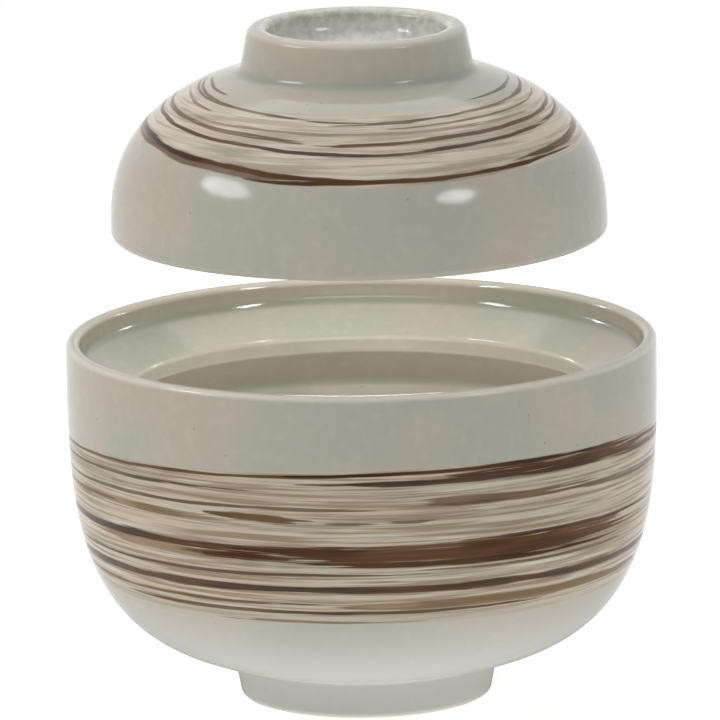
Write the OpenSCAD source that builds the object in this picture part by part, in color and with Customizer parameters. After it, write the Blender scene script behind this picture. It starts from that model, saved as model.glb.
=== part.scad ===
// Lidded soup bowl of thrown stoneware, in millimetres.
// The bowl stands on its foot ring at the origin, with +Z up, and the lid is lifted off its seat.
// Each piece is one fired body, turned about Z from a half section.

/* [Bowl] */
// Outside diameter of the bowl at its lip
bowl_d = 120; // [105:1:150]
// Height of the bowl from the table to the top of its lip
bowl_h = 74; // [64:1:95]
// Fullness of the belly: 2 is a plain ellipse and more is squarer
belly_fullness = 3.6; // [2.6:0.1:4.6]
// Thickness of the belly's wall
wall_t = 5; // [4:0.25:7]
// Thickness of the floor above the hollow of the foot
floor_t = 6; // [4.5:0.25:9]
// Thickness of the lip
lip_t = 2.9; // [2.4:0.1:4]
// Radius of the lip's rounded edges
lip_edge_r = 1.35; // [0.5:0.05:1.8]

/* [Ledge for the lid] */
// Depth of the upright inside wall, from the top of the lip down to the ledge
ledge_depth = 4.6; // [3:0.2:9]
// Slope of the ledge, down towards the middle, in degrees
ledge_slope = 30; // [24:1:36]
// How far the ledge reaches in past the edge of the lid
ledge_reach = 3.2; // [2.6:0.1:5]
// Height of the ledge's inner face
ledge_t = 3; // [2.8:0.1:5]
// Radius of the ledge's rounded inner edges
ledge_edge_r = 1.3; // [0.5:0.05:1.35]
// Radius of the hollow corners above and below the ledge
ledge_corner_r = 2.5; // [1:0.25:4]
// Slope of the ledge's underside, up from the level, in degrees
ledge_under_slope = 45; // [35:1:55]

/* [Foot ring] */
// Outside diameter of the foot ring at the table
foot_d = 50.8; // [44:0.2:64]
// Height of the belly's lowest point above the table
foot_h = 7; // [6:0.25:10]
// Width of the foot ring at the table
foot_w = 4.2; // [3.6:0.1:6]
// Depth of the hollow inside the foot ring
foot_hollow = 5.4; // [4.6:0.1:6.4]
// Lean of the foot ring's sides from upright, in degrees
foot_lean = 12; // [0:1:18]
// Radius of the foot ring's rounded edges
foot_edge_r = 1.4; // [0.4:0.1:1.6]
// Radius of the fillets where the foot ring meets the belly and the hollow
foot_fillet_r = 1.6; // [0.6:0.1:2.4]

/* [Lid] */
// Height of the dome's crown above the lid's rim
dome_h = 36.2; // [28:0.2:46]
// Height of the upright side between the rim and the dome
lid_side_h = 2.2; // [1.8:0.1:6]
// Fullness of the dome: 2 is a plain ellipse and more is squarer
dome_fullness = 2.45; // [2:0.05:3.2]
// Thickness of the lid at its rim
lid_t = 4.2; // [3.4:0.1:6]
// Radius of the rim's rounded edges
lid_rim_r = 1.5; // [0.6:0.1:1.6]
// Thickness of the dome at its crown
crown_t = 4.4; // [3.4:0.1:6]

/* [Grip ring of the lid] */
// Outside diameter of the grip ring at its top
grip_d = 44; // [36:0.2:56]
// Height of the grip ring above the dome's crown
grip_h = 6.6; // [5:0.1:12]
// Width of the grip ring at its top
grip_w = 3.7; // [3:0.1:5]
// Depth of the hollow inside the grip ring
grip_hollow = 6.6; // [5:0.1:8]
// Lean of the grip ring's sides from upright, in degrees
grip_lean = 15; // [0:1:20]
// Radius of the grip ring's rounded edges
grip_edge_r = 1.7; // [0.4:0.05:1.8]
// Radius of the fillet where the grip ring meets the dome
grip_fillet_r = 2.6; // [1:0.1:4]
// Radius of the hollow's round bottom corner
grip_hollow_r = 4.4; // [2:0.1:4.6]

/* [Fit] */
// Room all round between the edge of the lid and the upright inside wall
lid_play = 6.7; // [5:0.1:9]
// Gap left between the seated lid and the ledge
seat_gap = 0.3; // [0.2:0.05:0.6]
// How far the lid is lifted off its seat
lid_lift = 30; // [15:1:80]

/* [Hidden] */
$fn = 180;
// Straight pieces that each rounded corner and each long curve is drawn with
arc_steps = 8;
curve_steps = 36;
glaze = [0.73, 0.72, 0.67];
// Radii of the bowl's outside and of its upright inside wall
bowl_r = bowl_d / 2;
gallery_r = bowl_r - lip_t;
// The lid's outside radius leaves the play inside that wall, and the ledge reaches in under it
lid_r = gallery_r - lid_play;
ledge_r = lid_r - ledge_reach;
// Heights of the ledge at the inside wall and at its inner edge
ledge_z = bowl_h - ledge_depth;
ledge_edge_z = ledge_z - (gallery_r - ledge_r) * tan(ledge_slope);
// The belly's inside, and the height at which the ledge's underside runs into it
cavity_r = bowl_r - wall_t;
cavity_floor_z = foot_hollow + floor_t;
under_ledge_z = ledge_edge_z - ledge_t - (cavity_r - ledge_r) * tan(ledge_under_slope);
// Height at which the lid's round rim clears the sloping ledge by the gap
rim_round = edge(lid_rim_r, lid_t);
seat_reach = (lid_play + rim_round) * sin(ledge_slope);
lid_seat_z = ledge_z - rim_round + (rim_round + seat_gap - seat_reach) / cos(ledge_slope);
// Heights in the lid, from its rim
lid_h = dome_h + grip_h;
grip_floor_z = lid_h - grip_hollow;
lid_inside_h = dome_h - crown_t;
lid_inside_r = lid_r - lid_t;

// Angle on a full curve at a share of its half width, and at a share of its half height
function angle_at_width(share, fullness) = acos(pow(share, fullness / 2));
function angle_at_height(share, fullness) = asin(pow(share, fullness / 2));

// Points along a quarter of a superellipse about the origin, between two of its angles
function full_curve(half_w, half_h, fullness, from, to) =
    [for (i = [0:curve_steps])
        let (a = from + (to - from) * i / curve_steps)
        [half_w * pow(cos(a), 2 / fullness), half_h * pow(sin(a), 2 / fullness)]];

function unit(v) = v / norm(v);
function turned(v, a) = [v.x * cos(a) - v.y * sin(a), v.x * sin(a) + v.y * cos(a)];

// An arc that rounds the corner between the points before and after it
function round_corner(before, corner, after, r) =
    let (
        back = unit(before - corner),
        on = unit(after - corner),
        half = acos(back * on) / 2,
        centre = corner + unit(back + on) * r / sin(half),
        start = corner + back * r / tan(half) - centre,
        sweep = (180 - 2 * half) * sign(back.y * on.x - back.x * on.y)
    )
    [for (i = [0:arc_steps]) centre + turned(start, sweep * i / arc_steps)];

// An outline from a list of [point, radius], with each corner that has a radius rounded
function outline(path) =
    [for (i = [0:len(path) - 1])
        each path[i][1] == 0
            ? [path[i][0]]
            : round_corner(path[i - 1][0], path[i][0], path[i + 1][0], path[i][1])];

// Radius of a rounded edge, limited by the wall that it rounds
function edge(r, wall) = min(r, 0.49 * wall);

// Points of a curve as corners that stay sharp
function plain(points) = [for (p = points) [p, 0]];

// Height of the belly's outside at a radius
function belly_z(r) =
    bowl_h - (bowl_h - foot_h) * pow(1 - pow(r / bowl_r, belly_fullness), 1 / belly_fullness);

// Height of the dome's outside at a radius, from the lid's rim
function dome_z(r) =
    lid_side_h + (dome_h - lid_side_h) * pow(1 - pow(r / lid_r, dome_fullness), 1 / dome_fullness);

// Foot ring, from the middle of its hollow out to its meeting with the belly
function foot_path() =
    let (
        lean = tan(foot_lean),
        outer_r = foot_d / 2,
        inner_r = outer_r - foot_w,
        top_r = outer_r + foot_h * lean
    )
    [
        [[0, foot_hollow], 0],
        [[inner_r - foot_hollow * lean, foot_hollow], foot_fillet_r],
        [[inner_r, 0], edge(foot_edge_r, foot_w)],
        [[outer_r, 0], edge(foot_edge_r, foot_w)],
        [[top_r, belly_z(top_r)], foot_fillet_r]
    ];

// Belly's outside, from beyond the foot's fillet up to below the lip's rounded edge
function belly_path() =
    let (
        start_r = foot_d / 2 + foot_h * tan(foot_lean) + 2 * foot_fillet_r,
        from = angle_at_width(start_r / bowl_r, belly_fullness),
        to = angle_at_height(2 * lip_edge_r / (bowl_h - foot_h), belly_fullness)
    )
    plain([for (p = full_curve(bowl_r, bowl_h - foot_h, belly_fullness, from, to)) [p.x, bowl_h - p.y]]);

// Lip, upright inside wall and ledge
function gallery_path() = [
    [[bowl_r, bowl_h], edge(lip_edge_r, lip_t)],
    [[gallery_r, bowl_h], edge(lip_edge_r, lip_t)],
    [[gallery_r, ledge_z], ledge_corner_r],
    [[ledge_r, ledge_edge_z], edge(ledge_edge_r, ledge_t)],
    [[ledge_r, ledge_edge_z - ledge_t], edge(ledge_edge_r, ledge_t)],
    [[cavity_r, under_ledge_z], ledge_corner_r]
];

// Belly's inside, from below the ledge down to the middle of the floor
function cavity_path() =
    let (
        depth = bowl_h - cavity_floor_z,
        start_z = under_ledge_z - 2 * ledge_corner_r,
        from = angle_at_height((bowl_h - start_z) / depth, belly_fullness)
    )
    plain([for (p = full_curve(cavity_r, depth, belly_fullness, from, 90)) [p.x, bowl_h - p.y]]);

// Inside of the lid, from its crown down to above the rim's rounded edge
function lid_inside_path() =
    let (height = lid_inside_h - lid_side_h)
    plain([for (p = full_curve(lid_inside_r, height, dome_fullness, 90, 0)) [p.x, lid_side_h + p.y]]);

// Rim of the lid
function lid_rim_path() = [[[lid_inside_r, 0], rim_round], [[lid_r, 0], rim_round]];

// Outside of the dome, from its upright side up to before the grip's fillet
function dome_path() =
    let (
        end_r = grip_d / 2 + grip_h * tan(grip_lean) + 2 * grip_fillet_r,
        to = angle_at_width(end_r / lid_r, dome_fullness)
    )
    plain([for (p = full_curve(lid_r, dome_h - lid_side_h, dome_fullness, 0, to)) [p.x, lid_side_h + p.y]]);

// Grip ring, from its meeting with the dome over its top and down to the middle of its hollow
function grip_path() =
    let (
        lean = tan(grip_lean),
        outer_r = grip_d / 2,
        inner_r = outer_r - grip_w,
        base_r = outer_r + grip_h * lean
    )
    [
        [[base_r, dome_z(base_r)], grip_fillet_r],
        [[outer_r, lid_h], edge(grip_edge_r, grip_w)],
        [[inner_r, lid_h], edge(grip_edge_r, grip_w)],
        [[inner_r - grip_hollow * lean, grip_floor_z], grip_hollow_r],
        [[0, grip_floor_z], 0]
    ];

// A solid turned about Z from the outline of its half section
module turned_piece(path) {
    rotate_extrude()
        polygon(outline(path));
}

module bowl() {
    color(glaze)
        turned_piece(concat(foot_path(), belly_path(), gallery_path(), cavity_path()));
}

module lid() {
    color(glaze)
        translate([0, 0, lid_seat_z + lid_lift])
            turned_piece(concat(lid_inside_path(), lid_rim_path(), dome_path(), grip_path()));
}

bowl();
lid();
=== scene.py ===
"""A lidded soup bowl of thrown stoneware: its two glazed pieces, the studio and the camera."""

import logging
import math
from dataclasses import dataclass, field
from enum import Enum
from typing import NamedTuple

import bpy
from mathutils import Matrix, Vector


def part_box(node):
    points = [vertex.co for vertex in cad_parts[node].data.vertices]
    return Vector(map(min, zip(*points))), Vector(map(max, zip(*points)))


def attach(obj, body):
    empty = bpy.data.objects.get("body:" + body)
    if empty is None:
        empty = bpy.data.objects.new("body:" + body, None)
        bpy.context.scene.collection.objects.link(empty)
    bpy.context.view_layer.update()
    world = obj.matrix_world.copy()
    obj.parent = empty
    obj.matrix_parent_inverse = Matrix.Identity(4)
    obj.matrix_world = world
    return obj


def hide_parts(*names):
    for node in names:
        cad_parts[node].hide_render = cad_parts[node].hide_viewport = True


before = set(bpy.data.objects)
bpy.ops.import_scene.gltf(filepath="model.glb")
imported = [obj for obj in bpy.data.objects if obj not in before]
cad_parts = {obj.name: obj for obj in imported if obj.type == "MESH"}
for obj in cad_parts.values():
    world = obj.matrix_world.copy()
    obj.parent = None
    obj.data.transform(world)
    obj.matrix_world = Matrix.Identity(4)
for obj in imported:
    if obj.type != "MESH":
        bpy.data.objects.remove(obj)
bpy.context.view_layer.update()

LOG = logging.getLogger("soup_bowl")
MM = 0.001
Colour = tuple[float, float, float]
Place = tuple[float, float]
Noise = tuple[float, float]


def srgb(red: int, green: int, blue: int) -> Colour:
    """Returns a colour that is written as 0 to 255 on screen as linear light."""
    shares = (red / 255, green / 255, blue / 255)
    return tuple(((s + 0.055) / 1.055) ** 2.4 if s > 0.04045 else s / 12.92 for s in shares)


class Value:
    """A node's socket in a Python expression, where each operator adds a Math node."""

    def __init__(self, tree: "Tree", socket: bpy.types.NodeSocket) -> None:
        """Keeps the socket and the tree that it is in."""
        self.tree = tree
        self.socket = socket

    def output(self, name: str | int) -> "Value":
        """Returns another output of the same node."""
        return Value(self.tree, self.socket.node.outputs[name])

    def __add__(self, other: "Value | float") -> "Value":
        """Returns this value plus another."""
        return self.tree.math("ADD", self, other)

    __radd__ = __add__

    def __sub__(self, other: "Value | float") -> "Value":
        """Returns this value less another."""
        return self.tree.math("SUBTRACT", self, other)

    def __rsub__(self, other: float) -> "Value":
        """Returns a number less this value."""
        return self.tree.math("SUBTRACT", other, self)

    def __mul__(self, other: "Value | float") -> "Value":
        """Returns this value times another."""
        return self.tree.math("MULTIPLY", self, other)

    __rmul__ = __mul__

    def __truediv__(self, other: "Value | float") -> "Value":
        """Returns this value over another."""
        return self.tree.math("DIVIDE", self, other)

    def __pow__(self, power: float) -> "Value":
        """Returns this value to a power."""
        return self.tree.math("POWER", self, power)

    def __neg__(self) -> "Value":
        """Returns this value with its sign turned."""
        return self.tree.math("MULTIPLY", self, -1.0)

    def __abs__(self) -> "Value":
        """Returns this value without its sign."""
        return self.tree.math("ABSOLUTE", self)

    def held(self) -> "Value":
        """Returns this value held between 0 and 1."""
        return self.tree.add("ShaderNodeClamp", {}, {"Value": self})

    def ramp(self, low: float, high: float) -> "Value":
        """Returns a smooth step that is 0 at one value and 1 at the other."""
        ends = {"Value": self, "From Min": low, "From Max": high}
        return self.tree.add("ShaderNodeMapRange", {"interpolation_type": "SMOOTHSTEP"}, ends)


class Tree:
    """A node tree that is being filled."""

    def __init__(self, nodes: bpy.types.NodeTree) -> None:
        """Keeps the tree."""
        self.nodes = nodes

    @classmethod
    def of(cls, owner: bpy.types.Material | bpy.types.World) -> "Tree":
        """Empties a node tree.

        Args:
            owner: The material or the world that has it.

        Returns:
            The tree, to be filled.
        """
        owner.use_nodes = True
        owner.node_tree.nodes.clear()
        return cls(owner.node_tree)

    def add(self, kind: str, settings: dict | None = None, sockets: dict | None = None) -> Value:
        """Adds a node.

        Args:
            kind: The node's type.
            settings: Its properties, which are set first.
            sockets: Values or links, by the socket's name or number.

        Returns:
            The node's first output, from which the others can be had.
        """
        node = self.nodes.nodes.new(kind)
        for name, setting in (settings or {}).items():
            setattr(node, name, setting)
        for key, given in (sockets or {}).items():
            if isinstance(given, Value):
                self.nodes.links.new(given.socket, node.inputs[key])
            else:
                node.inputs[key].default_value = given
        return Value(self, node.outputs[0] if node.outputs else node.inputs[0])

    def math(self, operation: str, *values: Value | float) -> Value:
        """Adds a Math node on values and numbers."""
        return self.add("ShaderNodeMath", {"operation": operation}, dict(enumerate(values)))

    def mix(self, share: Value | float, first: Value | Colour, second: Value | Colour) -> Value:
        """Mixes two colours.

        Args:
            share: How much of the second colour shows.
            first: The colour at a share of 0.
            second: The colour at a share of 1.

        Returns:
            The mixed colour.
        """
        ends = [c if isinstance(c, Value) else (*c, 1.0) for c in (first, second)]
        sockets = {0: share, 6: ends[0], 7: ends[1]}
        return self.add("ShaderNodeMix", {"data_type": "RGBA"}, sockets).output(2)

    def noise(self, place: Value, lumps: float, detail: float) -> Value:
        """Adds smooth noise of so many lumps to the metre, or to the unit of a place."""
        return self.add("ShaderNodeTexNoise", {}, {"Vector": place, "Scale": lumps, "Detail": detail})

    def parts(self, vector: Value) -> tuple[Value, Value, Value]:
        """Splits a vector into its three parts."""
        split = self.add("ShaderNodeSeparateXYZ", {}, {"Vector": vector})
        return split, split.output("Y"), split.output("Z")


@dataclass(frozen=True)
class Fade:
    """How a value shows: not at all at its low end, and by its full share at its high end."""

    low: float
    high: float
    share: float = 1.0

    def of(self, value: Value) -> Value:
        """Returns how strongly a value shows."""
        return value.ramp(self.low, self.high) * self.share


class Side(Enum):
    """The side of a turned piece that a stretch of its section lies on."""

    INSIDE = 0.0
    OUTSIDE = 1.0


@dataclass(frozen=True)
class Corner:
    """A corner of a half section, in metres: its rounding, and how the clay and glaze are there.

    The turning ridges, how far the glaze is drawn off a bulge and into a hollow, and how much
    it is painted paler as painted light are shares. A drawn share below 0 is the other way round,
    which paints a pale highlight into a hollow corner.
    """

    r: float
    z: float
    radius: float
    side: Side
    ridges: float = 0.0
    drawn: float = 1.0
    # pale is painted light: how much paler the glaze is painted where light falls on it.
    pale: float = 0.0


class SectionPoint(NamedTuple):
    """A point of a finished half section: what the glaze and the turning do there, and its painted
    light.
    """

    r: float
    z: float
    edge: float
    outside: float
    ridges: float
    pale: float


@dataclass(frozen=True)
class FullCurve:
    """A quarter of a superellipse, by its half width, half height and fullness."""

    half_w: float
    half_h: float
    fullness: float
    steps: int = 72

    def height_at(self, r: float) -> float:
        """Returns the curve's height at a radius."""
        return self.half_h * (1 - (r / self.half_w) ** self.fullness) ** (1 / self.fullness)

    def angle_at_width(self, r: float) -> float:
        """Returns the angle at which the curve has a radius."""
        return math.acos((r / self.half_w) ** (self.fullness / 2))

    def angle_at_height(self, height: float) -> float:
        """Returns the angle at which the curve has a height."""
        return math.asin((height / self.half_h) ** (self.fullness / 2))

    def points(self, start: float, end: float) -> list[Place]:
        """Draws a stretch of the curve.

        Args:
            start: The angle that it starts at.
            end: The angle that it ends at.

        Returns:
            Radius and height of each point.
        """
        turns = [start + (end - start) * i / self.steps for i in range(self.steps + 1)]
        power = 2 / self.fullness
        return [
            (self.half_w * max(math.cos(a), 0) ** power, self.half_h * max(math.sin(a), 0) ** power)
            for a in turns
        ]


@dataclass
class Section:
    """A half section that is gathered corner by corner, with the clay on its left."""

    corners: list[Corner] = field(default_factory=list)
    arc_steps: int = 12
    longest: float = 1.0 * MM
    # How far along a curve its painted light fades out, as a share of the curve.
    painted_light_share: float = 0.75

    def corner(self, r: float, z: float, radius: float, side: Side, **fired: float) -> None:
        """Adds one corner, the radius that rounds it, and how the clay and glaze are there."""
        self.corners.append(Corner(r, z, radius, side, **fired))

    def curve(
        self, places: list[Place], side: Side, ridges: float = 0.0, pale: float = 0.0
    ) -> None:
        """Adds a curve.

        Args:
            places: Radius and height along the curve.
            side: The side of the piece that it is on.
            ridges: How strong the turning ridges are in its middle, from which they fade out.
            pale: How much painted light pales the glaze at its start, from which that fades out.
        """
        last = len(places) - 1
        for i, (r, z) in enumerate(places):
            swell = ridges * math.sin(math.pi * i / last) ** 0.5
            left = max(0.0, 1 - i / last / self.painted_light_share)
            self.corner(r, z, 0.0, side, ridges=swell, pale=pale * left**2 * (3 - 2 * left))

    def rounded(self, i: int) -> list[SectionPoint]:
        """Rounds a corner.

        Args:
            i: The corner's number.

        Returns:
            The arc's points, with an edge above 0 where the glaze is thin and below 0 where it pools;
            a drawn share below 0 turns this round and paints a pale highlight into a hollow corner.
        """
        here = self.corners[i]
        at, before, after = (
            Vector((c.r, c.z)) for c in (here, self.corners[i - 1], self.corners[i + 1])
        )
        back, on = (before - at).normalized(), (after - at).normalized()
        half = back.angle(on) / 2
        bulge = 1.0 if back.x * on.y - back.y * on.x < 0 else -1.0
        centre = at + (back + on).normalized() * (here.radius / math.sin(half))
        arm = at + back * (here.radius / math.tan(half)) - centre
        sweep = bulge * (math.pi - 2 * half)
        points = []
        for step in range(self.arc_steps + 1):
            share = step / self.arc_steps
            place = centre + Matrix.Rotation(sweep * share, 2) @ arm
            edge = here.drawn * bulge * math.sin(math.pi * share)
            shares = (edge, here.side.value, here.ridges, here.pale)
            points.append(SectionPoint(place.x, place.y, *shares))
        return points

    def points(self) -> list[SectionPoint]:
        """Rounds the corners, and cuts long straight stretches into short ones.

        Returns:
            The points of the finished section.
        """
        drawn: list[SectionPoint] = []
        for i, c in enumerate(self.corners):
            if c.radius:
                drawn += self.rounded(i)
            else:
                drawn.append(SectionPoint(c.r, c.z, 0.0, c.side.value, c.ridges, c.pale))
        fine = drawn[:1]
        for a, b in zip(drawn, drawn[1:]):
            parts = max(1, math.ceil(math.dist((a.r, a.z), (b.r, b.z)) / self.longest))
            for n in range(1, parts + 1):
                share = n / parts
                between = SectionPoint(*(p + (q - p) * share for p, q in zip(a, b)))
                fine.append(between._replace(outside=b.outside))
        return fine


@dataclass
class Wheel:
    """The potter's wheel: a node tree that turns a half section into a closed body."""

    steps: int = 192
    axis_r: float = 1.0 * MM
    weld: float = 0.001 * MM
    wobble: float = 0.10 * MM
    wobble_lumps: float = 34.0
    ridge_depth: float = 0.07 * MM
    ridge_pitch: float = 5.2 * MM
    seed: int = 7
    group: bpy.types.NodeTree = field(init=False)
    inputs: dict[str, str] = field(init=False, default_factory=dict)

    def __post_init__(self) -> None:
        """Makes the tree with its named inputs."""
        self.group = bpy.data.node_groups.new("turned_piece", "GeometryNodeTree")
        self.group.is_modifier = True
        for name, kind in (
            ("Section", "Geometry"),
            ("Steps", "Int"),
            ("Wobble", "Float"),
            ("Ridge Depth", "Float"),
            ("Ridge Pitch", "Float"),
            ("Seed", "Int"),
            ("Glaze", "Material"),
        ):
            made = self.group.interface.new_socket(name, in_out="INPUT", socket_type=f"NodeSocket{kind}")
            self.inputs[name] = made.identifier
        self.group.interface.new_socket("Body", in_out="OUTPUT", socket_type="NodeSocketGeometry")
        self.fill()

    def fill(self) -> None:
        """Adds the nodes: the section swept round the axis, then the marks of the hand."""
        tree = Tree(self.group)
        given = tree.add("NodeGroupInput")
        line = tree.add("GeometryNodeMeshToCurve", {}, {"Mesh": given.output("Section")})
        ring = tree.add(
            "GeometryNodeCurvePrimitiveCircle",
            {"mode": "RADIUS"},
            {"Resolution": given.output("Steps"), "Radius": self.axis_r},
        )
        swept = tree.add("GeometryNodeCurveToMesh", {}, {"Curve": ring, "Profile Curve": line})
        closed = tree.add("GeometryNodeMergeByDistance", {}, {"Geometry": swept, "Distance": self.weld})
        offset = self.marks(tree, given)
        moved = tree.add("GeometryNodeSetPosition", {}, {"Geometry": closed, "Offset": offset})
        smooth = tree.add("GeometryNodeSetShadeSmooth", {}, {"Geometry": moved})
        real = tree.add("GeometryNodeRealizeInstances", {}, {"Geometry": smooth})
        glaze = given.output("Glaze")
        dressed = tree.add("GeometryNodeSetMaterial", {}, {"Geometry": real, "Material": glaze})
        tree.add("NodeGroupOutput", {}, {"Body": dressed})

    def marks(self, tree: Tree, given: Value) -> Value:
        """Adds the spiral ridges and the slight wobble, which both go into the clay.

        Args:
            tree: The tree to fill.
            given: The node that holds the tree's inputs.

        Returns:
            The offset of each point.
        """
        place = tree.add("GeometryNodeInputPosition")
        normal = tree.add("GeometryNodeInputNormal")
        x, y, _ = tree.parts(place)
        angle = tree.math("ARCTAN2", y, x)
        travel, ridges = (
            tree.add("GeometryNodeInputNamedAttribute", {"data_type": "FLOAT"}, {"Name": name})
            for name in ("travel", "ridges")
        )
        turns = travel / given.output("Ridge Pitch") * math.tau + angle
        groove = (tree.math("SINE", turns) - 1.0) * 0.5 * ridges * given.output("Ridge Depth")
        wobble = {"Vector": place, "W": given.output("Seed"), "Scale": self.wobble_lumps, "Detail": 1.0}
        lumps = tree.add("ShaderNodeTexNoise", {"noise_dimensions": "4D"}, wobble)
        depth = groove - lumps * given.output("Wobble")
        offset = {"Vector": normal, "Scale": depth}
        return tree.add("ShaderNodeVectorMath", {"operation": "SCALE"}, offset)

    def turn(self, name: str, section: Section, glaze: bpy.types.Material) -> bpy.types.Object:
        """Turns a section into a piece.

        Args:
            name: The piece's name.
            section: Its half section.
            glaze: The material that it gets.

        Returns:
            The piece, a plain mesh at the origin.
        """
        points = section.points()[::-1]
        steps = [math.dist((a.r, a.z), (b.r, b.z)) for a, b in zip(points, points[1:])]
        mesh = bpy.data.meshes.new(name)
        places = [(p.r - self.axis_r, -p.z, 0.0) for p in points]
        mesh.from_pydata(places, [(i, i + 1) for i in range(len(points) - 1)], [])
        attributes = {"travel": [sum(steps[:i]) for i in range(len(points))]}
        # The pale attribute carries the painted light.
        for key in ("edge", "outside", "ridges", "pale"):
            attributes[key] = [getattr(p, key) for p in points]
        for key, values in attributes.items():
            mesh.attributes.new(key, "FLOAT", "POINT").data.foreach_set("value", values)
        piece = bpy.data.objects.new(name, mesh)
        bpy.context.scene.collection.objects.link(piece)
        turning = piece.modifiers.new("turning", "NODES")
        turning.node_group = self.group
        for key, setting in (
            ("Steps", self.steps),
            ("Wobble", self.wobble),
            ("Ridge Depth", self.ridge_depth),
            ("Ridge Pitch", self.ridge_pitch),
            ("Seed", self.seed),
            ("Glaze", glaze),
        ):
            turning[self.inputs[key]] = setting
        graph = bpy.context.evaluated_depsgraph_get()
        body = bpy.data.meshes.new_from_object(piece.evaluated_get(graph), depsgraph=graph)
        piece.modifiers.remove(turning)
        piece.data = body
        body.name = name
        bpy.data.meshes.remove(mesh)
        return piece


class Across(Enum):
    """The measure that a ring of brushwork keeps the same all round."""

    HEIGHT = "height"
    RADIUS = "radius"


class Streak(Enum):
    """Streaks round the pot, by their lumps to the radian, lines to the metre and detail."""

    FINE_GRAIN = (2.8, 2300.0, 3.0)
    COARSE_GRAIN = (3.4, 390.0, 2.0)
    WANDER = (2.2, 66.0, 2.0)
    SWELL = (4.5, 170.0, 2.0)
    HAIRS = (1.9, 1500.0, 2.0)
    VEIL = (1.5, 430.0, 1.0)
    TONE = (2.4, 240.0, 1.0)


class Ink(Enum):
    """The colours that the iron brown fires to: where it lies thick, and where it is thinner."""

    DARK = (srgb(54, 27, 1), srgb(80, 50, 19))
    BROWN = (srgb(76, 46, 13), srgb(104, 76, 45))
    RED = (srgb(72, 35, 4), srgb(90, 52, 19))
    OLIVE = (srgb(66, 50, 18), srgb(106, 90, 60))
    TAN = (srgb(122, 98, 68), srgb(146, 124, 98))


@dataclass(frozen=True)
class Stroke:
    """One stroke round the pot, in millimetres and in degrees to the right of the front."""

    at: float
    width: float
    start: float
    end: float
    ink: Ink = Ink.DARK
    load: float = 0.95
    dry: float = 0.2
    rise: float = 0.0


@dataclass(frozen=True)
class Brushwork:
    """The brushed band of a piece: a pale wash, its brown veins and the strokes on it.

    In millimetres, the wash has a low and a high edge, fades out towards both, and leans up or
    out by so much at the front of each. The high edge dips by so much at the left, and all of
    it wanders by so much.
    """

    across: Across
    wash: Place
    wash_fade: Place
    lean: Place
    dip: float
    bed: Colour
    veins: float
    strokes: tuple[Stroke, ...]
    wander: float = 0.8
    grain: Place = (0.7, 0.3)
    contrast: float = 2.6
    tones: Fade = Fade(0.42, 0.58)


@dataclass
class Brush:
    """The brush: a node group that masks one stroke.

    The head and the tail of a stroke are in degrees, up to a share of its length, and the other
    values are shares of its half width or of its load.
    """

    head: float = 18.0
    tail: float = 34.0
    head_share: float = 0.30
    tail_share: float = 0.38
    slim: float = 0.14
    narrow: float = 0.7
    swell: float = 0.6
    ragged: float = 0.75
    fray: float = 0.5
    soft: float = 0.64
    feather: float = 0.52
    inked: Fade = Fade(-0.12, 0.12)
    begun: Fade = Fade(0.0, 0.06)
    group: bpy.types.NodeTree = field(init=False)

    def __post_init__(self) -> None:
        """Makes the group with its inputs and its mask."""
        self.group = bpy.data.node_groups.new("brush_stroke", "ShaderNodeTree")
        names = (
            *("Across", "Angle", "Bristle", "Swell"),
            *("At", "Width", "Start", "Sweep", "Head", "Tail", "Rise", "Load", "Dry"),
        )
        for name in names:
            self.group.interface.new_socket(name, in_out="INPUT", socket_type="NodeSocketFloat")
        self.group.interface.new_socket("Mask", in_out="OUTPUT", socket_type="NodeSocketFloat")
        tree = Tree(self.group)
        given = tree.add("NodeGroupInput")
        across, angle, bristle, swell, at, width, start, sweep, head, tail, rise, load, dry = (
            given.output(name) for name in names
        )
        along = tree.math("WRAP", angle - start, math.tau, 0.0) / sweep
        ends = tree.math("MINIMUM", along / head, (1.0 - along) / tail).held()
        half = width * (self.slim + (0.5 - self.slim) * ends) * (self.narrow + self.swell * swell)
        off = abs(across - at - rise * along) / half + (0.5 - bristle) * self.ragged
        bare = (1.0 - ends) * self.fray + dry
        kept = self.inked.of(bristle - bare) * self.begun.of(ends)
        mask = (1.0 - off.ramp(self.soft, self.soft + self.feather)) * kept * load
        tree.add("NodeGroupOutput", {}, {"Mask": mask})

    def draw(self, tree: Tree, stroke: Stroke, fields: "BrushFields") -> Value:
        """Adds one stroke's mask to a material.

        Args:
            tree: The material's tree.
            stroke: The stroke.
            fields: What the stroke is drawn by.

        Returns:
            The mask, 0 off the stroke.
        """
        sweep = stroke.end - stroke.start
        return tree.add(
            "ShaderNodeGroup",
            {"node_tree": self.group},
            {
                "Across": fields.across,
                "Angle": fields.angle,
                "Bristle": fields.bristle,
                "Swell": fields.swell,
                "At": stroke.at * MM,
                "Width": stroke.width * MM,
                "Start": math.radians(stroke.start),
                "Sweep": math.radians(sweep),
                "Head": min(self.head_share, self.head / sweep),
                "Tail": min(self.tail_share, self.tail / sweep),
                "Rise": stroke.rise * MM,
                "Load": stroke.load,
                "Dry": stroke.dry,
            },
        )


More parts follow.
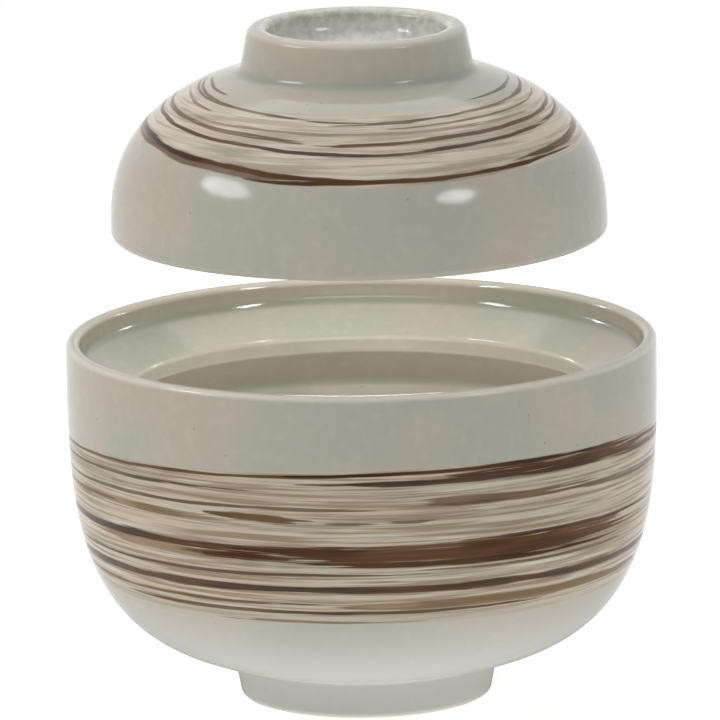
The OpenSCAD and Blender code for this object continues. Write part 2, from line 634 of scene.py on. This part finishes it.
@dataclass(frozen=True)
class BrushFields:
    """What brushwork is drawn by: places on the pot, and streaks that run round it."""

    across: Value
    angle: Value
    left: Value
    bristle: Value
    swell: Value
    hairs: Value
    veil: Value
    tone: Value

    @classmethod
    def of(cls, tree: Tree, band: Brushwork, xyz: tuple[Value, Value, Value]) -> "BrushFields":
        """Adds the fields to a material.

        Args:
            tree: The material's tree.
            band: The brushwork that they are for.
            xyz: The parts of the object coordinates.

        Returns:
            The fields.
        """
        x, y, z = xyz
        radius = (x * x + y * y) ** 0.5
        measure = z if band.across is Across.HEIGHT else radius

        def streaks(kind: Streak) -> Value:
            """Adds streaks.

            Args:
                kind: Their kind.

            Returns:
                Their noise.
            """
            lumps, lines, detail = kind.value
            turns = {"X": x / radius * lumps, "Y": y / radius * lumps, "Z": measure * lines}
            return tree.noise(tree.add("ShaderNodeCombineXYZ", {}, turns), 1.0, detail)

        fine, coarse = band.grain
        grain = streaks(Streak.FINE_GRAIN) * fine + streaks(Streak.COARSE_GRAIN) * coarse
        low, high = (edge * MM for edge in band.wash)
        lean, lean_on = band.lean[0] * MM, (band.lean[1] - band.lean[0]) * MM
        leant = (lean + ((measure - low) / (high - low)).held() * lean_on) * y / radius
        return cls(
            across=measure + leant + (streaks(Streak.WANDER) - 0.5) * (band.wander * MM),
            angle=tree.math("ARCTAN2", x, -y),
            left=(-x / radius).held(),
            bristle=((grain - 0.5) * band.contrast + 0.5).held(),
            swell=streaks(Streak.SWELL),
            hairs=streaks(Streak.HAIRS),
            veil=streaks(Streak.VEIL),
            tone=band.tones.of(streaks(Streak.TONE)),
        )


@dataclass(frozen=True)
class Glaze:
    """The fired finish: a glossy grey-green glaze, brushed iron under it, bare clay, and painted light.

    Each noise has its lumps to the metre and its detail, and reliefs are in metres.
    """

    cool: Colour = srgb(178, 177, 163)
    warm: Colour = srgb(186, 179, 165)
    thin: Colour = srgb(224, 219, 205)
    pooled: Colour = srgb(158, 160, 146)
    # Painted light: the pale colour that the glaze is mixed towards where light falls strongly, from
    # below on the foot and low belly and from above in the grip's hollow.
    pale: Colour = srgb(217, 218, 212)
    speck: Colour = srgb(120, 104, 84)
    clay: Colour = srgb(176, 150, 122)
    mirror: float = 0.17
    gloss: float = 0.09
    dull: float = 0.78
    ink_dull: float = 0.10
    bloom_noise: Noise = (210.0, 4.0)
    bloom: Fade = Fade(0.35, 0.75, 0.05)
    mottle_noise: Noise = (34.0, 2.0)
    mottle: Fade = Fade(0.36, 0.64)
    cloud_noise: Noise = (420.0, 3.0)
    cloud: Fade = Fade(0.45, 0.80, 0.12)
    edge_thin: float = 0.85
    edge_pooled: float = 0.65
    speck_cells: float = 300.0
    speck_size: Fade = Fade(0.05, 0.10)
    speck_chance: Fade = Fade(0.80, 0.82, 0.4)
    hollow: Fade = Fade(0.0, 0.3)
    dapple_noise: Noise = (520.0, 2.0)
    dapple_pooled: Fade = Fade(0.46, 0.66, 0.30)
    dapple_glazed: Fade = Fade(0.38, 0.54)
    dapple_thin: float = 0.45
    dapple: float = 0.10 * MM
    ripple_noise: Noise = (95.0, 1.0)
    ripple: float = 0.030 * MM
    peel_noise: Noise = (1500.0, 1.0)
    peel: float = 0.0025 * MM
    grit_noise: Noise = (2600.0, 3.0)
    grit_dark: Fade = Fade(0.35, 0.70)
    grit_shade: float = 0.72
    grit: float = 0.03 * MM
    bare_noise: Noise = (160.0, 2.0)
    bare_wander: float = 0.20 * MM
    bare_edge: float = 0.12 * MM
    wash_hairs: Fade = Fade(0.34, 0.60, 0.5)
    wash_veil: Fade = Fade(0.36, 0.62, 0.5)
    wash_between: Fade = Fade(0.38, 0.60)
    wash_thin: Fade = Fade(0.55, 0.90, 0.6)
    wash_share: float = 0.9

    def material(self, name: str, band: Brushwork, brush: Brush, bare_z: float) -> bpy.types.Material:
        """Makes the finish of one piece.

        Args:
            name: The material's name.
            band: The piece's brushwork.
            brush: The group that masks a stroke.
            bare_z: The height up to which the clay was wiped bare.

        Returns:
            The material.
        """
        made = bpy.data.materials.new(name)
        tree = Tree.of(made)
        place = tree.add("ShaderNodeTexCoord").output("Object")
        xyz = tree.parts(place)
        edge, outside, pale = (
            tree.add("ShaderNodeAttribute", {"attribute_name": key}).output("Fac")
            for key in ("edge", "outside", "pale")
        )
        # Painted light: mixes the glaze towards the pale colour by the pale attribute.
        glaze = tree.mix(pale, self.glazed(tree, place, edge), self.pale)
        # The grip's hollow, found by its painted light, also gets mottled dapples.
        hollow = self.hollow.of(pale) * (1.0 - outside)
        dapples = tree.noise(place, *self.dapple_noise)
        glaze = tree.mix(self.dapple_pooled.of(dapples) * hollow, glaze, self.pooled)
        spots = (1.0 - self.dapple_glazed.of(dapples)) * self.dapple_thin
        glaze = tree.mix(spots * hollow, glaze, self.thin)
        inked, ink = self.brushed(tree, band, brush, xyz, outside, glaze)
        grit = tree.noise(place, *self.grit_noise)
        wiped = xyz[2] + (tree.noise(place, *self.bare_noise) - 0.5) * self.bare_wander
        bare = 1.0 - wiped.ramp(bare_z, bare_z + self.bare_edge)
        gritty = tuple(share * self.grit_shade for share in self.clay)
        colour = tree.mix(bare, inked, tree.mix(self.grit_dark.of(grit), self.clay, gritty))
        rough = self.gloss + self.bloom.of(tree.noise(place, *self.bloom_noise)) + ink * self.ink_dull
        rough = rough + bare * (self.dull - self.gloss)
        relief = tree.noise(place, *self.ripple_noise) * self.ripple
        relief = relief + tree.noise(place, *self.peel_noise) * self.peel
        relief = relief + (dapples - 0.5) * hollow * self.dapple
        relief = relief * (1.0 - bare) + bare * grit * self.grit
        bump = tree.add("ShaderNodeBump", {}, {"Strength": 1.0, "Distance": 1.0, "Height": relief})
        finish = {"Base Color": colour, "Roughness": rough, "Normal": bump}
        finish["Specular IOR Level"] = self.mirror
        shader = tree.add("ShaderNodeBsdfPrincipled", {}, finish)
        tree.add("ShaderNodeOutputMaterial", {}, {"Surface": shader})
        return made

    def glazed(self, tree: Tree, place: Value, edge: Value) -> Value:
        """Adds the plain glaze: mottled, thin on edges, pooled in hollows, with fine specks.

        Args:
            tree: The material's tree.
            place: Object coordinates.
            edge: Above 0 on rounded edges and below 0 in hollow corners, except the foot's
                hollow corner, which is above 0 for a painted highlight.

        Returns:
            The glaze's colour.
        """
        mottle = self.mottle.of(tree.noise(place, *self.mottle_noise))
        colour = tree.mix(mottle, self.cool, self.warm)
        cloud = self.cloud.of(tree.noise(place, *self.cloud_noise))
        colour = tree.mix(cloud, colour, self.thin)
        # Paler on rounded edges, where the glaze runs thin; the share is also set to stand in for the
        # bright line of light along the lip, so this is partly painted highlight.
        colour = tree.mix((edge * self.edge_thin).held(), colour, self.thin)
        colour = tree.mix((-edge * self.edge_pooled).held(), colour, self.pooled)
        cells = tree.add("ShaderNodeTexVoronoi", {}, {"Vector": place, "Scale": self.speck_cells})
        chance = tree.add("ShaderNodeSeparateColor", {}, {"Color": cells.output("Color")})
        specks = (1.0 - self.speck_size.of(cells)) * self.speck_chance.of(chance)
        return tree.mix(specks, colour, self.speck)

    def brushed(
        self,
        tree: Tree,
        band: Brushwork,
        brush: Brush,
        xyz: tuple[Value, Value, Value],
        outside: Value,
        glaze: Value,
    ) -> tuple[Value, Value]:
        """Adds the wash and the strokes to the outside of a piece.

        Args:
            tree: The material's tree.
            band: The wash and the strokes.
            brush: The group that masks a stroke.
            xyz: The parts of the object coordinates.
            outside: 1 on the outside of the piece.
            glaze: The plain glaze's colour.

        Returns:
            The brushed colour, and how much iron is on the clay.
        """
        fields = BrushFields.of(tree, band, xyz)
        low, high = (edge * MM for edge in band.wash)
        fade_low, fade_high = (fade * MM for fade in band.wash_fade)
        wash = fields.across.ramp(low, low + fade_low)
        dipped = fields.across + fields.left * (band.dip * MM)
        wash = wash * (1.0 - dipped.ramp(high - fade_high, high)) * outside
        cover = self.wash_hairs.of(fields.hairs) + self.wash_veil.of(fields.veil)
        bed = tree.mix(cover, glaze, band.bed)
        veins = (1.0 - self.wash_between.of(fields.hairs)) * band.veins
        bed = tree.mix(veins, bed, Ink.TAN.value[1])
        bed = tree.mix(self.wash_thin.of(fields.bristle), bed, self.thin)
        colour = tree.mix(wash * self.wash_share, glaze, bed)
        ink: Value | None = None
        for stroke in band.strokes:
            mask = brush.draw(tree, stroke, fields) * outside
            colour = tree.mix(mask, colour, tree.mix(fields.tone, *stroke.ink.value))
            ink = mask if ink is None else tree.math("MAXIMUM", ink, mask)
        return colour, ink


@dataclass
class Bowl:
    """The bowl: its foot ring, belly, lip and the ledge that the lid seats on, in metres.

    The front's strokes come first in its band, from the top down, and then those behind.
    """

    lip_r: float
    height: float
    fullness: float = 3.6
    wall: float = 5.0 * MM
    floor: float = 6.0 * MM
    lip: float = 2.9 * MM
    lip_edge: float = 1.35 * MM
    ledge_depth: float = 4.6 * MM
    ledge_slope: float = math.radians(30)
    ledge_r: float = 47.2 * MM
    ledge_face: float = 3.0 * MM
    ledge_edge: float = 1.3 * MM
    ledge_corner: float = 2.5 * MM
    foot_r: float = 25.4 * MM
    foot_h: float = 7.0 * MM
    foot_w: float = 4.2 * MM
    foot_hollow: float = 5.4 * MM
    foot_lean: float = math.tan(math.radians(12))
    foot_edge: float = 1.4 * MM
    foot_fillet: float = 1.6 * MM
    bare: float = 0.08 * MM
    # Painted light from below: how much paler the glaze is painted on the foot and the low belly.
    foot_painted_light: float = 0.55
    belly_painted_light: float = 0.85
    ledge_drawn: float = 0.4
    under_drawn: float = 0.3
    band: Brushwork = Brushwork(
        across=Across.HEIGHT,
        wash=(25.0, 57.7),
        wash_fade=(5.0, 0.8),
        lean=(0.0, 1.6),
        dip=1.6,
        bed=srgb(202, 186, 164),
        veins=0.90,
        strokes=(
            Stroke(54.5, 0.65, -128, 26, Ink.BROWN, 0.97, 0.04, 2.1),
            Stroke(56.2, 0.9, -16, 66, Ink.DARK, 0.97, 0.04, 1.2),
            Stroke(57.2, 0.9, 40, 128, Ink.DARK, 0.95, 0.1, -2.6),
            Stroke(55.6, 1.8, 15, 76, Ink.RED, 0.95, 0.12, 0.3),
            Stroke(54.5, 1.2, -14, 124, Ink.DARK, 0.93, 0.1, 0.3),
            Stroke(53.0, 0.7, -112, -4, Ink.OLIVE, 0.9, 0.28),
            Stroke(49.7, 0.7, -98, 20, Ink.OLIVE, 0.85, 0.2),
            Stroke(50.7, 1.9, 0, 64, Ink.BROWN, 0.82, 0.25, -0.4),
            Stroke(50.1, 1.2, 34, 96, Ink.OLIVE, 0.8, 0.35),
            Stroke(48.2, 1.6, -33, -7, Ink.BROWN, 0.97, 0.08, -1.2),
            Stroke(47.1, 1.9, -88, -24, Ink.TAN, 0.9, 0.25),
            Stroke(47.3, 1.0, -92, -56, Ink.BROWN, 0.85, 0.2),
            Stroke(47.0, 0.7, -9, 3, Ink.OLIVE, 0.85, 0.1),
            Stroke(47.2, 0.7, 3, 15, Ink.OLIVE, 0.8, 0.1),
            Stroke(40.1, 2.1, -72, -8, Ink.TAN, 0.85, 0.2),
            Stroke(41.7, 1.6, -98, -2, Ink.DARK, 0.95, 0.06, -0.4),
            Stroke(40.4, 1.6, -44, -2, Ink.RED, 0.7, 0.25),
            Stroke(40.3, 4.0, -34, 74, Ink.RED, 0.95, 0.06, 0.4),
            Stroke(41.6, 1.6, -25, 84, Ink.BROWN, 0.9, 0.22, 0.7),
            Stroke(38.5, 1.2, -14, 62, Ink.DARK, 0.98, 0.12),
            Stroke(43.0, 0.8, 12, 84, Ink.DARK, 0.9, 0.15, -0.4),
            Stroke(36.3, 0.7, -92, 14, Ink.DARK, 0.82, 0.12, 0.3),
            Stroke(37.2, 0.7, 8, 84, Ink.OLIVE, 0.85, 0.2),
            Stroke(33.5, 1.6, -94, 104, Ink.DARK, 0.92, 0.1),
            Stroke(30.4, 0.8, -88, -4, Ink.BROWN, 0.85, 0.2),
            Stroke(28.8, 0.8, -64, 46, Ink.BROWN, 0.9, 0.15),
            Stroke(30.1, 1.8, -8, 88, Ink.TAN, 0.9, 0.15),
            Stroke(26.8, 0.7, -38, 14, Ink.TAN, 0.75, 0.2),
            Stroke(41.0, 3.3, 84, 232, Ink.RED, 0.97, 0.12, -0.6),
            Stroke(42.6, 1.2, 120, 258, Ink.DARK, 0.9, 0.3, -0.8),
            Stroke(52.2, 1.4, 92, 215, Ink.BROWN, 0.85, 0.35, 0.7),
            Stroke(53.9, 0.8, 130, 250, Ink.DARK, 0.9, 0.25, 0.6),
            Stroke(33.2, 1.7, 100, 268, Ink.DARK, 0.9, 0.25, 0.3),
            Stroke(46.5, 1.1, 140, 246, Ink.BROWN, 0.8, 0.4),
            Stroke(29.8, 0.8, 84, 262, Ink.BROWN, 0.8, 0.3, 0.4),
            Stroke(36.6, 0.6, 96, 250, Ink.DARK, 0.8, 0.3, -0.3),
        ),
    )

    @classmethod
    def from_frame(cls) -> "Bowl":
        """Returns the bowl at the size of its node."""
        _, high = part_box("bowl")
        return cls(lip_r=high[1], height=high[2])

    def section(self) -> Section:
        """Draws the half section, from under the foot, out, over the lip and in.

        Returns:
            The section.
        """
        half = Section()
        outside, inside = Side.OUTSIDE, Side.INSIDE
        belly = FullCurve(self.lip_r, self.height - self.foot_h, self.fullness)
        inner_r = self.foot_r - self.foot_w
        top_r = self.foot_r + self.foot_h * self.foot_lean
        half.corner(0.0, self.foot_hollow, 0.0, inside, ridges=1.0)
        hollow_r = inner_r - self.foot_hollow * self.foot_lean
        half.corner(hollow_r, self.foot_hollow, self.foot_fillet, inside)
        half.corner(inner_r, 0.0, self.foot_edge, inside)
        # The foot and the low belly get painted light from below, as paler glaze.
        half.corner(self.foot_r, 0.0, self.foot_edge, outside, pale=self.foot_painted_light)
        top_z = self.height - belly.height_at(top_r)
        # Painted highlight: a drawn share below 0 paints a pale line into the hollow corner where the
        # foot meets the belly.
        half.corner(top_r, top_z, self.foot_fillet, outside, drawn=-1.0, pale=self.foot_painted_light)
        start = belly.angle_at_width(top_r + 2 * self.foot_fillet)
        end = belly.angle_at_height(2 * self.lip_edge)
        places = [(r, self.height - h) for r, h in belly.points(start, end)]
        half.curve(places, outside, pale=self.belly_painted_light)
        half.corner(self.lip_r, self.height, self.lip_edge, outside)
        self.gallery(half)
        depth = self.height - self.foot_hollow - self.floor
        hollow = FullCurve(self.lip_r - self.wall, depth, self.fullness)
        start = hollow.angle_at_height(self.height - half.corners[-1].z + 2 * self.ledge_corner)
        places = hollow.points(start, math.pi / 2)
        half.curve([(r, self.height - h) for r, h in places], inside, ridges=1.0)
        return half

    def gallery(self, half: Section) -> None:
        """Adds the upright inside wall, the sloping ledge and its underside.

        Args:
            half: The half section, drawn as far as the lip.
        """
        wall_r = self.lip_r - self.lip
        ledge_z = self.height - self.ledge_depth
        edge_z = ledge_z - (wall_r - self.ledge_r) * math.tan(self.ledge_slope)
        under_z = edge_z - self.ledge_face
        cavity_r = self.lip_r - self.wall
        half.corner(wall_r, self.height, self.lip_edge, Side.INSIDE)
        half.corner(wall_r, ledge_z, self.ledge_corner, Side.INSIDE)
        half.corner(self.ledge_r, edge_z, self.ledge_edge, Side.INSIDE, drawn=self.ledge_drawn)
        half.corner(self.ledge_r, under_z, self.ledge_edge, Side.INSIDE, drawn=self.under_drawn)
        half.corner(cavity_r, under_z - (cavity_r - self.ledge_r), self.ledge_corner, Side.INSIDE)

    def build(self, wheel: Wheel, glaze: Glaze, brush: Brush) -> bpy.types.Object:
        """Turns and dresses the bowl.

        Args:
            wheel: The tree that turns a section.
            glaze: The finish.
            brush: The group that masks a stroke.

        Returns:
            The bowl, which stands for its node.
        """
        material = glaze.material("bowl_glaze", self.band, brush, self.bare)
        piece = wheel.turn("bowl_body", self.section(), material)
        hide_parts("bowl")
        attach(piece, "bowl")
        return piece


@dataclass
class Lid:
    """The lid: its dome, its rim and the ring grip on top, in metres.

    The front's strokes come first in its band, then those at the sides and those behind.
    """

    rim_r: float
    rim_z: float
    height: float
    side_h: float = 2.2 * MM
    fullness: float = 2.45
    wall: float = 4.2 * MM
    rim_edge: float = 1.5 * MM
    crown: float = 4.4 * MM
    grip_r: float = 22.0 * MM
    grip_h: float = 6.6 * MM
    grip_w: float = 3.7 * MM
    grip_hollow: float = 6.6 * MM
    grip_lean: float = math.tan(math.radians(15))
    grip_edge: float = 1.7 * MM
    grip_fillet: float = 2.6 * MM
    hollow_corner: float = 4.4 * MM
    bare: float = 0.08 * MM
    ridges: float = 0.8
    rim_drawn: float = 0.1
    grip_drawn: float = 0.4
    hollow_drawn: float = 0.8
    # Painted light from above: how much paler the glaze is painted on the grip's inner edge and in its
    # hollow.
    hollow_edge_painted_light: float = 0.3
    hollow_painted_light: float = 0.7
    band: Brushwork = Brushwork(
        across=Across.RADIUS,
        wash=(31.0, 45.8),
        wash_fade=(3.0, 0.4),
        lean=(1.2, 1.2),
        dip=1.3,
        bed=srgb(214, 198, 181),
        veins=0.50,
        strokes=(
            Stroke(30.4, 0.7, -106, 22, Ink.OLIVE, 0.92, 0.14, 4.7),
            Stroke(34.9, 0.7, -10, 112, Ink.OLIVE, 0.92, 0.14, -2.4),
            Stroke(36.9, 0.7, -74, 86, Ink.TAN, 0.8, 0.25, 0.4),
            Stroke(36.1, 0.5, 4, 100, Ink.BROWN, 0.85, 0.2, -0.9),
            Stroke(36.9, 0.9, -114, 22, Ink.BROWN, 0.85, 0.22, 2.9),
            Stroke(39.7, 0.9, -22, 112, Ink.RED, 0.92, 0.14, -1.8),
            Stroke(38.8, 0.7, -116, 24, Ink.DARK, 0.96, 0.08, 2.9),
            Stroke(41.7, 0.7, -12, 110, Ink.DARK, 0.96, 0.08, -2.2),
            Stroke(42.5, 1.6, -112, -2, Ink.RED, 0.82, 0.04, 2.7),
            Stroke(42.0, 0.75, -116, 12, Ink.DARK, 0.95, 0.05, 3.3),
            Stroke(45.2, 0.6, -34, 76, Ink.DARK, 0.96, 0.06, -0.3),
            Stroke(45.1, 1.1, 32, 114, Ink.BROWN, 0.92, 0.22, -2.2),
            Stroke(29.0, 0.7, -104, -46, Ink.BROWN, 0.88, 0.2, 1.2),
            Stroke(31.2, 0.6, -124, -40, Ink.OLIVE, 0.88, 0.2, 1.8),
            Stroke(33.2, 0.6, -98, -40, Ink.TAN, 0.88, 0.2, 2.4),
            Stroke(30.8, 0.7, 44, 108, Ink.BROWN, 0.85, 0.2, -0.6),
            Stroke(33.2, 0.6, 52, 124, Ink.OLIVE, 0.85, 0.2, -0.8),
            Stroke(44.2, 1.1, 98, 248, Ink.DARK, 0.95, 0.25, -0.6),
            Stroke(37.8, 1.2, 106, 240, Ink.RED, 0.85, 0.35),
            Stroke(40.4, 0.6, 100, 246, Ink.DARK, 0.95, 0.2, -0.6),
            Stroke(33.2, 0.6, 112, 262, Ink.BROWN, 0.85, 0.3),
        ),
    )

    @classmethod
    def from_frame(cls) -> "Lid":
        """Returns the lid at the size and the height of its node."""
        low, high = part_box("lid")
        return cls(rim_r=high[1], rim_z=low[2], height=high[2] - low[2])

    def section(self) -> Section:
        """Draws the half section, from under the crown, out, round the rim and up.

        Returns:
            The section.
        """
        half = Section()
        outside, inside = Side.OUTSIDE, Side.INSIDE
        base, top = self.rim_z, self.rim_z + self.height
        dome_h = self.height - self.grip_h
        inner_r = self.rim_r - self.wall
        under = FullCurve(inner_r, dome_h - self.crown - self.side_h, self.fullness)
        places = under.points(math.pi / 2, 0.0)
        half.curve([(r, base + self.side_h + h) for r, h in places], inside, ridges=self.ridges)
        half.corner(inner_r, base, self.rim_edge, inside)
        half.corner(self.rim_r, base, self.rim_edge, outside, drawn=self.rim_drawn)
        dome = FullCurve(self.rim_r, dome_h - self.side_h, self.fullness)
        foot_r = self.grip_r + self.grip_h * self.grip_lean
        end = dome.angle_at_width(foot_r + 2 * self.grip_fillet)
        half.curve([(r, base + self.side_h + h) for r, h in dome.points(0.0, end)], outside)
        foot_z = base + self.side_h + dome.height_at(foot_r)
        ring_r = self.grip_r - self.grip_w
        floor_z = top - self.grip_hollow
        half.corner(foot_r, foot_z, self.grip_fillet, outside)
        half.corner(self.grip_r, top, self.grip_edge, outside, drawn=self.grip_drawn)
        # The grip's inner edge and hollow get painted light from above, as paler glaze; it also marks
        # where dapples go.
        fired = {"drawn": self.hollow_drawn, "pale": self.hollow_edge_painted_light}
        half.corner(ring_r, top, self.grip_edge, inside, **fired)
        floor_r = ring_r - self.grip_hollow * self.grip_lean
        half.corner(floor_r, floor_z, self.hollow_corner, inside, pale=self.hollow_painted_light)
        half.corner(0.0, floor_z, 0.0, inside, pale=self.hollow_painted_light)
        return half

    def build(self, wheel: Wheel, glaze: Glaze, brush: Brush) -> bpy.types.Object:
        """Turns and dresses the lid.

        Args:
            wheel: The tree that turns a section.
            glaze: The finish.
            brush: The group that masks a stroke.

        Returns:
            The lid, which stands for its node.
        """
        material = glaze.material("lid_glaze", self.band, brush, self.rim_z + self.bare)
        piece = wheel.turn("lid_body", self.section(), material)
        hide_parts("lid")
        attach(piece, "lid")
        return piece


@dataclass(frozen=True)
class Softbox:
    """A softbox that faces a point, by its bearing from the front and its elevation in degrees.

    Its distance and size are in metres and its power in watts. Its glint is further power, which
    only the glaze mirrors.
    """

    name: str
    bearing: float
    elevation: float
    distance: float
    width: float
    height: float
    power: float
    glint: float = 0.0
    aim: tuple[float, float, float] = (0.0, 0.0, 0.0688)

    def build(self) -> None:
        """Makes the lamp and its glint."""
        if self.power:
            self.lamp(self.name, self.power)
        if self.glint:
            self.lamp(f"{self.name}_glint", self.glint).visible_diffuse = False

    def lamp(self, name: str, power: float) -> bpy.types.Object:
        """Adds a lamp of the softbox's size and place.

        Args:
            name: The lamp's name.
            power: Its power in watts.

        Returns:
            The lamp.
        """
        data = bpy.data.lights.new(name, "AREA")
        data.shape = "ELLIPSE"
        data.size, data.size_y = self.width, self.height
        data.energy = power
        lamp = bpy.data.objects.new(name, data)
        turn, tilt = math.radians(self.bearing), math.radians(self.elevation)
        out = Vector(
            (math.sin(turn) * math.cos(tilt), -math.cos(turn) * math.cos(tilt), math.sin(tilt))
        )
        lamp.location = Vector(self.aim) + out * self.distance
        lamp.rotation_euler = (-out).to_track_quat("-Z", "Y").to_euler()
        bpy.context.scene.collection.objects.link(lamp)
        return lamp


@dataclass
class Studio:
    """A white sweep that the pot stands on, with its softboxes and a dim room.

    The small lamps make up for the light that the lid keeps from the ledge and the inside.
    """

    floor_side: float = 12.0
    floor_white: float = 0.35
    shadow_share: float = 0.50
    sweep_glow: float = 0.76
    paper_glow: float = 0.91
    room: float = 0.02
    # Painted shadow: how bright the mirrored floor is at the foot, and the radii over which it clears to
    # white.
    painted_shadow_glow: float = 0.35
    painted_shadow_reach: Place = (0.030, 0.110)
    shadow_reach: Place = (0.35, 0.90)
    lamps: tuple[Softbox, ...] = (
        Softbox("softbox_left", -74, 33, 1.0, 0.46, 0.22, 2.95, 7.6),
        Softbox("softbox_right", 50, 31.5, 1.0, 0.30, 0.18, 1.30, 4.3),
        Softbox("softbox_top", 180, 80, 1.3, 2.00, 2.00, 16.8),
        Softbox("fill_ledge", 0, 90, 0.0195, 0.034, 0.034, 0.032),
        Softbox("fill_inside", 0, 0, 0.065, 0.050, 0.020, 0.006, aim=(0.0, 0.045, 0.048)),
        Softbox("ledge_left", 57.6, 41.8, 0.014, 0.0024, 0.0056, 0, 0.0020, (-0.0235, 0.0517, 0.0696)),
        Softbox("ledge_right", -69.5, 38.9, 0.014, 0.0024, 0.0056, 0, 0.0020, (0.0284, 0.0492, 0.0696)),
    )

    def rays(self, tree: Tree) -> tuple[Value, Value]:
        """Tells the rays apart.

        Args:
            tree: The tree of a material or of the world.

        Returns:
            1 for rays of the camera, and 1 for those that the pot mirrors or lets through.
        """
        path = tree.add("ShaderNodeLightPath")
        mirrored = path.output("Is Glossy Ray") + path.output("Is Transmission Ray")
        return path.output("Is Camera Ray"), mirrored.held()

    def build(self) -> None:
        """Makes the floor, the world and the lamps."""
        scene = bpy.context.scene
        scene.view_settings.view_transform = "Standard"
        half = self.floor_side / 2
        mesh = bpy.data.meshes.new("floor")
        corners = [(-half, -half, 0), (half, -half, 0), (half, half, 0), (-half, half, 0)]
        mesh.from_pydata(corners, [], [(0, 1, 2, 3)])
        mesh.materials.append(self.floor_material())
        floor = bpy.data.objects.new("floor", mesh)
        scene.collection.objects.link(floor)
        scene.world = self.world()
        for lamp in self.lamps:
            lamp.build()

    def floor_material(self) -> bpy.types.Material:
        """Makes white paper, which the camera sees as white with the pot's shadow on it.

        The glaze mirrors it as white too, but with a painted shadow: darker near the foot,
        by distance from the middle.

        Returns:
            The material.
        """
        made = bpy.data.materials.new("white_sweep")
        tree = Tree.of(made)
        paper, shade = (
            tree.add("ShaderNodeBsdfDiffuse", {}, {"Color": (share, share, share, 1.0)})
            for share in (self.floor_white, self.shadow_share)
        )
        back, sweep, painted_shadow, white = (
            tree.add("ShaderNodeEmission", {}, {"Color": (1.0, 1.0, 1.0, 1.0), "Strength": glow})
            for glow in (self.paper_glow, self.sweep_glow, self.painted_shadow_glow, 1.0)
        )
        x, y, _ = tree.parts(tree.add("ShaderNodeTexCoord").output("Object"))
        radius = (x * x + y * y) ** 0.5
        lit = tree.add("ShaderNodeAddShader", {}, {0: paper, 1: back})
        seen = tree.add("ShaderNodeAddShader", {}, {0: shade, 1: sweep})
        far = radius.ramp(*self.shadow_reach)
        seen = tree.add("ShaderNodeMixShader", {}, {0: far, 1: seen, 2: white})
        # Painted shadow: the mirrored floor is painted darker near the foot, by distance from the
        # middle.
        clear = radius.ramp(*self.painted_shadow_reach)
        plain = tree.add("ShaderNodeMixShader", {}, {0: clear, 1: painted_shadow, 2: white})
        camera, mirrored = self.rays(tree)
        shown = tree.add("ShaderNodeMixShader", {}, {0: mirrored, 1: lit, 2: plain})
        shown = tree.add("ShaderNodeMixShader", {}, {0: camera, 1: shown, 2: seen})
        tree.add("ShaderNodeOutputMaterial", {}, {"Surface": shown})
        return made

    def world(self) -> bpy.types.World:
        """Makes the room: dim on the pot, and white where the background shows.

        Returns:
            The world.
        """
        made = bpy.data.worlds.new("studio_room")
        tree = Tree.of(made)
        white = (1.0, 1.0, 1.0, 1.0)
        dim = tree.add("ShaderNodeBackground", {}, {"Color": white, "Strength": self.room})
        plain = tree.add("ShaderNodeBackground", {}, {"Color": white, "Strength": 1.0})
        camera, mirrored = self.rays(tree)
        white_seen = (camera + mirrored).held()
        shown = tree.add("ShaderNodeMixShader", {}, {0: white_seen, 1: dim, 2: plain})
        tree.add("ShaderNodeOutputWorld", {}, {"Surface": shown})
        return made


@dataclass(frozen=True)
class PhotoCamera:
    """The camera of the photograph: a long lens, a little above the lip."""

    elevation: float = math.radians(12.0)
    roll: float = math.radians(0.9)
    distance: float = 2.4
    frame_width: float = 0.1462
    aim: tuple[float, float, float] = (-0.0003, 0.0, 0.0688)

    def build(self) -> None:
        """Makes the camera and gives it to the scene."""
        data = bpy.data.cameras.new("photo_camera")
        data.lens = data.sensor_width * self.distance / self.frame_width
        camera = bpy.data.objects.new("photo_camera", data)
        out = Vector((0.0, -math.cos(self.elevation), math.sin(self.elevation)))
        camera.location = Vector(self.aim) + out * self.distance
        facing = (-out).to_track_quat("-Z", "Y").to_matrix().to_4x4()
        turned = facing @ Matrix.Rotation(-self.roll, 4, "Z")
        camera.rotation_euler = turned.to_euler()
        bpy.context.scene.collection.objects.link(camera)
        bpy.context.scene.camera = camera


def main() -> None:
    """Builds the camera, the pieces and the studio in order."""
    logging.basicConfig(level=logging.INFO, format="%(name)s: %(message)s")
    PhotoCamera().build()
    wheel, glaze, brush = Wheel(), Glaze(), Brush()
    for part in (Bowl.from_frame(), Lid.from_frame()):
        piece = part.build(wheel, glaze, brush)
        LOG.info("%s: %d faces", piece.name, len(piece.data.polygons))
    Studio().build()


if __name__ == "__main__":
    main()
